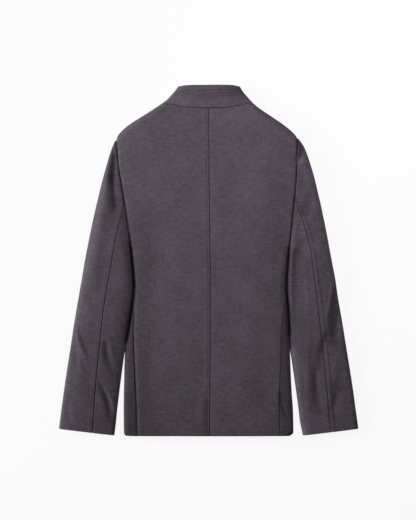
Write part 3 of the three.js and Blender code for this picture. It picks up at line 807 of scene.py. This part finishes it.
def pinchShade(side):
    def paintedValleyShade(points):
        x, y = points[..., 0], points[..., 1]
        d = np.abs(x - along(bodyEdge, y, side))
        full = smooth((pinch["top"] - y) / (pinch["top"] - pinch["full"]))
        start = smooth((pinch["top"] - y) / pinch["start"])
        start = start * smooth((y - pinch["apex"][side]) / pinch["fade"])
        deep = np.exp(-(d / mix(pinch["narrow"], pinch["near"], full)) ** 2)
        return start * np.maximum(deep, full * pinch["soft"] * np.exp(-(d / pinch["far"]) ** 2))

    return paintedValleyShade


def finishCloth(piece, material, node):
    piece.data.materials.clear()
    piece.data.materials.append(material)
    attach(piece, "root")
    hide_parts(node)


def makeBack(side):
    s = sideSign[side]
    gap = cut["seamGap"]
    shape = {
        "innerX": lambda y: along(heights, y, "seam") + s * gap / 2,
        "sideX": lambda y: bodyX(side, y) - s * inset(sideSeamArc(side, y) + gap / 2, sideRound(y)),
        "armX": lambda y: along(bodyEdge, y, side) - s * gap / 2,
        "splitY": cut["underarmY"],
        "neckY": cut["backNeckY"],
    }

    def pointAt(f, v):
        x, y = panelPlace(side, f, v, shape)
        return bodyPoint(side, x, y, True, hold=gap / 2)

    seams = {
        "start": seam["centreLeft" if side == "left" else "centreRight"],
        "end": seam["backLeft" if side == "left" else "backRight"],
        "low": seam["hem"],
        "high": seam["neck"],
    }
    return layCloth("back_cloth_" + side, pointAt, seams, vMost=2.0, paintedValleyShade=pinchShade(side))


def makeFront(side):
    s = sideSign[side]
    gap = cut["seamGap"]

    def armX(y):
        return along(bodyEdge, y, side) - s * (along(scoop, y - cut["underarmY"], "scoop") + gap / 2)

    shape = {
        "innerX": lambda y: cut["closureX"] - s * cut["lap"] + 0 * y,
        "sideX": lambda y: bodyX(side, y) - s * (along(sideSeam, y, "under") - cut["hiddenTuck"]),
        "armX": armX,
        "splitY": cut["underarmY"] + cut["frontSeamRise"],
        "neckY": cut["frontNeckY"],
    }

    def pointAt(f, v):
        x, y = panelPlace(side, f, v, shape)
        return bodyPoint(side, x, y, False, lift=liftAt(side, x), hold=gap / 2)

    seams = {"start": seam["closing"], "end": seam["plain"], "low": seam["hem"], "high": seam["neck"]}
    return layCloth("front_cloth_" + side, pointAt, seams, vMost=2.0)


def makeSide(side):
    s = sideSign[side]
    gap = cut["seamGap"]
    bend = float(sideRound(cut["underarmY"]))
    reach = scoop["scoop"][2]
    rises = {"y": scoop["y"][:3], "scoop": scoop["scoop"][:3]}

    def pointAt(u, v):
        armholeArc = -arcOf(np.array(float(reach)), bend) * u
        rise = along(rises, inset(armholeArc, bend), "y", "scoop")
        y = mix(cut["hemY"], cut["underarmY"] + rise - gap * v, v)
        turn = sideRound(y)
        seamArc = sideSeamArc(side, y)
        underArc = -arcOf(along(sideSeam, y, "under") + cut["hiddenTuck"], turn)
        q = mix(seamArc - gap / 2, underArc, u)
        hold = np.where(q < 0, np.maximum(gap / 2 - seamArc, 0), 0)
        x = bodyX(side, y) - s * inset(q, turn)
        return bodyPoint(side, x, y, q >= 0, hold=hold)

    seams = {"start": seam["plain"], "end": seam["plain"], "low": seam["hem"], "high": seam["shoulder"]}
    return layCloth("side_cloth_" + side, pointAt, seams, paintedValleyShade=pinchShade(side))


# Sleeves: how far the crown leans to the outer fold, the way of the grain, and how the head settles
sleeve = {
    "crownLean": {"left": 1.0, "right": 0.68},
    "grain": {"left": (0.181, 0.983), "right": (-0.181, 0.983)},
    "headShare": 0.15,
    "settleShare": 0.12,
    "settleWidth": 5.0,
}


def sleevePoint(side, t, angle):
    # A place on the sleeve's tube: t runs from armhole to cuff, and the angle round it from the inner edge
    s = sideSign[side]
    share = (1 - np.cos(angle)) / 2
    upper = np.sin(angle) >= -1e-9
    startY = cut["shoulderY"][side]
    outerY = along(ring, t, "outer", "t") + (startY - ring["outer"][0]) * np.maximum(1 - t / ring["t"][1], 0)
    innerY = along(ring, t, "inner", "t")
    y = mix(innerY, outerY, share)
    straight = mix(sleeveInnerX(side, innerY), outlineX(side, outerY), share)
    armholeY = mix(cut["underarmY"], startY, share)
    ends = mix(sleeveInnerX(side, cut["underarmY"]), outlineX(side, startY), share)
    trim = np.where(upper, 0, along(scoop, armholeY - cut["underarmY"], "scoop") - cut["seamGap"] / 2)
    clear = along(split, cut["underarmY"], side) * (1 - share) + cut["seamGap"] / 2
    armhole = along(bodyEdge, armholeY, side) + s * (clear - trim)
    within = (share > 0) & (share < 1)
    x = straight + (armhole - ends) * np.maximum(1 - t / sleeve["headShare"], 0) ** 2 * within
    away = np.abs(x - along(bodyEdge, np.maximum(y, cut["underarmY"]), side))
    free = smooth(away / sleeve["settleWidth"]) * (y > cut["underarmY"])
    settle = np.maximum(smooth(t / sleeve["settleShare"]), free)
    lean = 2 * share ** sleeve["crownLean"][side] - 1
    crown = along(ring, t, "crown", "t") * (1 - lean ** 4) ** 2
    soft = creaseAt(upperCreases, x, y) + wavesAt(x, y)
    top = along(heights, y, "edge") - cut["armholeStep"] * (1 - settle) + crown + soft * settle
    arches = [foldAt(folds[side]["outline"], x, y), foldAt(folds[side]["sleeve"], x, y)]
    point = foldedPoint(x, y, top, arches, upper)
    below = np.where(upper, 0.0, creaseAt(lowerCreases, x, y) * arches[0] * arches[1])
    point[..., 2] += np.maximum(below, 0)
    return point


def makeSleeve(side, part):
    hindColumn = "hindLeft" if side == "left" else "hindRight"
    gap, tuck = cut["sleeveGapTurn"], cut["sleeveTuckTurn"]

    def pointAt(u, v):
        hind = np.arccos(1 - 2 * along(ring, v, hindColumn, "t"))
        fore = np.arccos(1 - 2 * along(ring, v, "fore", "t"))
        if part == "top":
            return sleevePoint(side, v, mix(hind + gap, 2 * math.pi - fore + tuck, u))
        return sleevePoint(side, v, mix(hind - gap, -fore - tuck, u))

    outerSeam = "hindOuter" if side == "left" else "hindDouble"
    seams = {
        "start": seam["hindInner" if part == "under" else outerSeam],
        "end": seam["plain"],
        "low": seam["sleeveHead"],
        "high": seam["hem"],
    }
    return layCloth("sleeve_" + part + "_cloth_" + side, pointAt, seams, grain=sleeve["grain"][side],
                    paintedValleyShade=pinchShade(side), column=4 if part == "top" else 0)


# Collar: an outer and an inner cloth, one inside the other, closed at the neck seam and along the top
collar = {
    "outerThick": 1.5,
    "innerDepth": 1.8,
    "innerThick": 1.2,
    "endGap": 0.04,
    "topFlat": 6,
    "crownFlat": 4,
    "stand": 3.0,
    "outerSeams": {
        "low": seam["neck"],
        # The outer collar's top: the seam's line, a dark line near the edge, and a wide band of painted
        # shade across the collar
        "high": {"depth": 0.45, "width": 1.5, "shade": 0.36, "soft": 1.2, "reach": 6.0, "rise": 0.3,
                 "lines": [(6.6, 0.32, 1.5), (17.0, 0.24, 11.0)]},
    },
    # The inner collar darkens strongly at its neck edge: painted shade inside the collar
    "innerSeams": {"low": {"depth": 0.2, "width": 1.2, "shade": 0.8, "soft": 3.0}},
}


def collarPoint(s, v):
    # Round the neck from the closing line: left front, left back, right back, right front
    g = np.where(s < 0.25, s * 4, np.where(s < 0.5, 2 - s * 4, np.where(s < 0.75, s * 4 - 2, 4 - s * 4)))
    g = np.clip(g, 0, 1)
    upper = (s >= 0.25) & (s <= 0.75)
    leftHalf = s < 0.5
    edgeY = mix(cut["neckEndY"], cut["collarFoldY"], v)
    sign = np.where(leftHalf, -1.0, 1.0)
    endX = np.where(leftHalf, outlineX("left", edgeY), outlineX("right", edgeY))
    neckEndX = np.where(leftHalf, outlineX("left", cut["neckEndY"]), outlineX("right", cut["neckEndY"]))
    middleX = cut["closureX"] + np.where(upper, 0, sign * collar["endGap"])
    x = mix(middleX, endX, g)
    neckY = neckLine(mix(cut["closureX"], neckEndX, g), np.where(upper, cut["backNeckY"], cut["frontNeckY"]))
    middleTopY = np.where(upper, cut["backCollarY"], cut["frontCollarY"])
    topY = mix(middleTopY, cut["collarFoldY"], g ** collar["topFlat"])
    y = mix(neckY, topY, v)
    arches = [foldAt(folds["left"]["outline"], x, y), foldAt(folds["right"]["outline"], x, y)]
    edge = along(heights, y, "edge")
    inner = 1 - g ** collar["crownFlat"]
    top = edge + (along(heights, y, "middle") - edge) * inner ** 2 + collar["stand"] * v * inner
    lift = np.where(upper, 0, np.where(leftHalf, liftAt("left", x), liftAt("right", x)))
    return foldedPoint(x, y, top, arches, upper, lift)


cloths = {}
for side in ("left", "right"):
    cloths["back_" + side] = makeBack(side)
    cloths["front_" + side] = makeFront(side)
    cloths["side_" + side] = makeSide(side)
    cloths["sleeve_top_" + side] = makeSleeve(side, "top")
    cloths["sleeve_under_" + side] = makeSleeve(side, "under")
print("body and sleeves laid")

cloths["collar_outer"] = layCloth(
    "collar_outer_cloth", collarPoint, collar["outerSeams"], thickness=collar["outerThick"])
cloths["collar_inner"] = layCloth(
    "collar_inner_cloth", collarPoint, collar["innerSeams"], thickness=collar["innerThick"],
    sink=collar["innerDepth"])
print("collar laid")


# Buttons on the hidden front: four holes, and a dished outer face, which looks down at the floor
button = {
    "radius": 11.5,
    "thick": 3.5,
    "rim": 1.6,
    "dish": 0.8,
    "hole": 1.1,
    "holeOut": 2.4,
    "sides": 72,
    "holeSides": 20,
    "soften": 0.3,
    "firstY": 318.0,
    "stepY": -95.0,
    "turns": [7, -11, 4, -6, 12],
    "light": (0.052, 0.041, 0.043, 1),
    "dark": (0.017, 0.014, 0.017, 1),
    "stretch": (150, 420, 200),
    "streakRange": (0.35, 0.65),
    "roughness": (0.26, 0.44),
    "bump": 0.00003,
    "coat": 0.15,
}

# Sewing thread: strands through the button's holes, its shank, and the stitches round each buttonhole
thread = {
    "strand": 0.32,
    "strands": 3,
    "shank": 1.7,
    "holeLength": 24.0,
    "holeHalf": 1.2,
    "stitch": 0.36,
    "stitchHalf": 1.05,
    "stitchPitch": 0.72,
    "stitchSink": 0.2,
    "barEnd": 0.7,
    "flat": 1.5,
    "wraps": 3,
    "wrap": 0.22,
    "light": (0.070, 0.058, 0.072, 1),
    "dark": (0.040, 0.033, 0.041, 1),
    "stretch": (900, 900, 900),
    "streakRange": (0.35, 0.65),
    "roughness": (0.55, 0.75),
    "bump": 0.00006,
    "coat": 0.0,
}


def makeHardFinish(name, look):
    # Streaks of two tones on object coordinates, for horn plastic and thread
    material = bpy.data.materials.new(name)
    material.use_nodes = True
    tree = material.node_tree
    place = tree.nodes.new("ShaderNodeTexCoord").outputs["Object"]
    streak = stretchedNoise(tree, place, look["stretch"], 4.0, 0.6, 2.3)
    spread = ranged(tree, streak, (0.0, 1.0), look["streakRange"])
    tint = colourMix(tree, spread, look["dark"], look["light"])
    shader = finishSurface(tree, tint, ranged(tree, streak, look["roughness"]), streak, look["bump"])
    shader.inputs["Coat Weight"].default_value = look["coat"]
    return material


def selectFaces(piece, wanted):
    # Into edit mode with only the wanted faces selected
    selectOnly(piece)
    bpy.ops.object.mode_set(mode="EDIT")
    bpy.ops.mesh.select_mode(type="FACE")
    bpy.ops.mesh.select_all(action="DESELECT")
    bpy.ops.object.mode_set(mode="OBJECT")
    for face in piece.data.polygons:
        face.select = wanted(face)
    bpy.ops.object.mode_set(mode="EDIT")


def makeButton():
    height = button["thick"] * mm
    bpy.ops.mesh.primitive_cylinder_add(vertices=button["sides"], radius=button["radius"] * mm, depth=height)
    disc = bpy.context.object
    disc.location.z = height / 2
    bpy.ops.object.transform_apply(location=True)
    selectFaces(disc, lambda face: face.normal.z < -0.9)
    bpy.ops.mesh.inset(thickness=button["rim"] * mm)
    bpy.ops.mesh.inset(thickness=button["dish"] * mm)
    bpy.ops.transform.translate(value=(0, 0, button["dish"] * mm))
    bpy.ops.object.mode_set(mode="OBJECT")
    out = button["holeOut"] * mm / math.sqrt(2)
    for x, y in ((out, out), (out, -out), (-out, out), (-out, -out)):
        bpy.ops.mesh.primitive_cylinder_add(
            vertices=button["holeSides"], radius=button["hole"] * mm, depth=height * 3, location=(x, y, 0))
        pin = bpy.context.object
        hole = disc.modifiers.new("thread hole", "BOOLEAN")
        hole.operation = "DIFFERENCE"
        hole.object = pin
        applyAll(disc)
        bpy.data.objects.remove(pin)
    soft = disc.modifiers.new("polished edges", "BEVEL")
    soft.width = button["soften"] * mm
    soft.segments = 3
    soft.limit_method = "ANGLE"
    soft.angle_limit = math.radians(38)
    applyAll(disc)
    bpy.ops.object.shade_smooth_by_angle(angle=math.radians(35))
    return disc


def joinAll(pieces):
    bpy.ops.object.select_all(action="DESELECT")
    for piece in pieces:
        piece.select_set(True)
    bpy.context.view_layer.objects.active = pieces[0]
    bpy.ops.object.join()
    bpy.ops.object.transform_apply(location=True, rotation=True, scale=True)
    bpy.ops.object.shade_smooth()
    return bpy.context.object


def makeShank():
    # Two bars of strands across the holes, and the wound shank between button and cloth
    out = button["holeOut"] * mm / math.sqrt(2)
    strands = []
    for y in (out, -out):
        for k in range(thread["strands"]):
            aside = (k - (thread["strands"] - 1) / 2) * thread["flat"] * thread["strand"] * mm
            bpy.ops.mesh.primitive_uv_sphere_add(
                segments=12, ring_count=14, radius=1, location=(0, y + aside, button["dish"] * mm),
                scale=(out + thread["barEnd"] * mm, thread["strand"] * mm,
                       thread["strand"] * thread["flat"] * mm))
            strands.append(bpy.context.object)
    gap = (cut["buttonLift"] - button["thick"]) / (thread["wraps"] - 1)
    for k in range(thread["wraps"]):
        bpy.ops.mesh.primitive_torus_add(
            major_segments=24, minor_segments=8, major_radius=thread["shank"] * mm,
            minor_radius=thread["wrap"] * mm, location=(0, 0, (button["thick"] + gap * k) * mm))
        strands.append(bpy.context.object)
    return joinAll(strands)


def makeButtonhole():
    # Satin stitches side by side round a slot that starts at the shank and runs away from the front's edge
    half, length = thread["holeHalf"], thread["holeLength"]
    straight, bend = length - 2 * half, math.pi * half
    around = 2 * (straight + bend)
    count = round(around / thread["stitchPitch"])
    stitches = []
    for k in range(count):
        s = around * k / count
        if s < straight:
            x, y, way = -s, half, 90.0
        elif s < straight + bend:
            way = 90 + 180 * (s - straight) / bend
            x, y = -straight + half * math.cos(math.radians(way)), half * math.sin(math.radians(way))
        elif s < 2 * straight + bend:
            x, y, way = s - 2 * straight - bend, -half, 270.0
        else:
            way = 270 + 180 * (s - 2 * straight - bend) / bend
            x, y = half * math.cos(math.radians(way)), half * math.sin(math.radians(way))
        bpy.ops.mesh.primitive_uv_sphere_add(
            segments=8, ring_count=6, radius=1, rotation=(0, 0, math.radians(way)),
            location=(x * mm, y * mm, (cut["buttonLift"] - thread["stitchSink"]) * mm),
            scale=(thread["stitchHalf"] * mm, thread["stitch"] * mm, thread["stitch"] * mm))
        stitches.append(bpy.context.object)
    return joinAll(stitches)


def placeCopies(pattern, material, name, nodes=False, turned=False):
    # A copy with its own mesh at each button's place
    for k, turn in enumerate(button["turns"]):
        selectOnly(pattern)
        bpy.ops.object.duplicate()
        piece = bpy.context.object
        piece.name = name + "_" + str(k + 1)
        piece.data.name = piece.name
        piece.rotation_euler.z = math.radians(turn) if turned else 0
        piece.location = (cut["closureX"] * mm, (button["firstY"] + k * button["stepY"]) * mm, 0)
        bpy.ops.object.transform_apply(location=True, rotation=True, scale=True)
        piece.data.materials.append(material)
        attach(piece, "root")
        if nodes:
            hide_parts("button_" + str(k + 1))
    bpy.data.objects.remove(pattern)


horn = makeHardFinish("dark horn plastic", button)
sewing = makeHardFinish("plum sewing thread", thread)
placeCopies(makeButton(), horn, "horn_button", nodes=True, turned=True)
placeCopies(makeShank(), sewing, "button_thread", turned=True)
placeCopies(makeButtonhole(), sewing, "buttonhole")
print("buttons and buttonholes made")


# White floor, evenly lit as the camera sees it, with only faint shadows
floorLook = {"size": 12.0, "paper": (0.07, 0.07, 0.07, 1), "seenGlow": 0.90, "castGlow": 0.25}
bpy.ops.object.select_all(action="DESELECT")
bpy.ops.mesh.primitive_plane_add(size=floorLook["size"], location=(0, 0, 0))
floor = bpy.context.object
floor.name = "floor"
paper = bpy.data.materials.new("white paper floor")
paper.use_nodes = True
shader = paper.node_tree.nodes["Principled BSDF"]
shader.inputs["Base Color"].default_value = floorLook["paper"]
shader.inputs["Roughness"].default_value = 0.9
shader.inputs["Specular IOR Level"].default_value = 0.0
shader.inputs["Emission Color"].default_value = (1, 1, 1, 1)
rays = paper.node_tree.nodes.new("ShaderNodeLightPath")
glow = ranged(paper.node_tree, rays.outputs["Is Camera Ray"], (floorLook["castGlow"], floorLook["seenGlow"]))
paper.node_tree.links.new(glow, shader.inputs["Emission Strength"])
floor.data.materials.append(paper)

for name, (piece, flat) in cloths.items():
    kind = name.split("_")[0]
    material = {"side": sideCloth, "collar": collarCloth}.get(kind, woolCloth)
    finishCloth(piece, material, name)

# Light: a large far light at the left, a nearer one over the shoulders, and a dim room
lights = {
    "left": {"place": (-3.4, 0.5, 0.95), "aim": (0, 0, 0), "size": 1.5, "power": 232.0},
    "top": {"place": (0.42, 0.5, 0.82), "aim": (0.16, 0.2, 0), "size": 0.7, "power": 6.8},
}
room = {"light": 0.075, "seen": 0.90}
for name, lamp in lights.items():
    bpy.ops.object.light_add(type="AREA", location=lamp["place"])
    made = bpy.context.object
    made.name = name + "_light"
    made.data.shape = "DISK"
    made.data.size = lamp["size"]
    made.data.energy = lamp["power"]
    x, y, z = (lamp["place"][i] - lamp["aim"][i] for i in range(3))
    made.rotation_euler = (math.atan2(math.hypot(x, y), z), 0, math.atan2(x, -y))
world = bpy.data.worlds.new("soft room")
bpy.context.scene.world = world
world.use_nodes = True
backdrop = world.node_tree.nodes["Background"]
backdrop.inputs["Color"].default_value = (1, 1, 1, 1)
rays = world.node_tree.nodes.new("ShaderNodeLightPath")
glow = ranged(world.node_tree, rays.outputs["Is Camera Ray"], (room["light"], room["seen"]))
world.node_tree.links.new(glow, backdrop.inputs["Strength"])

# Camera straight above, far enough for the photo's flat view
view = {"place": (-0.00135, 0.000675, 3.259), "lens": 100.0, "sensor": 36.0}
bpy.ops.object.camera_add(location=view["place"], rotation=(0, 0, 0))
camera = bpy.context.object
camera.data.lens = view["lens"]
camera.data.sensor_width = view["sensor"]
camera.data.sensor_fit = "AUTO"
bpy.context.scene.camera = camera
bpy.context.scene.view_settings.view_transform = "Standard"
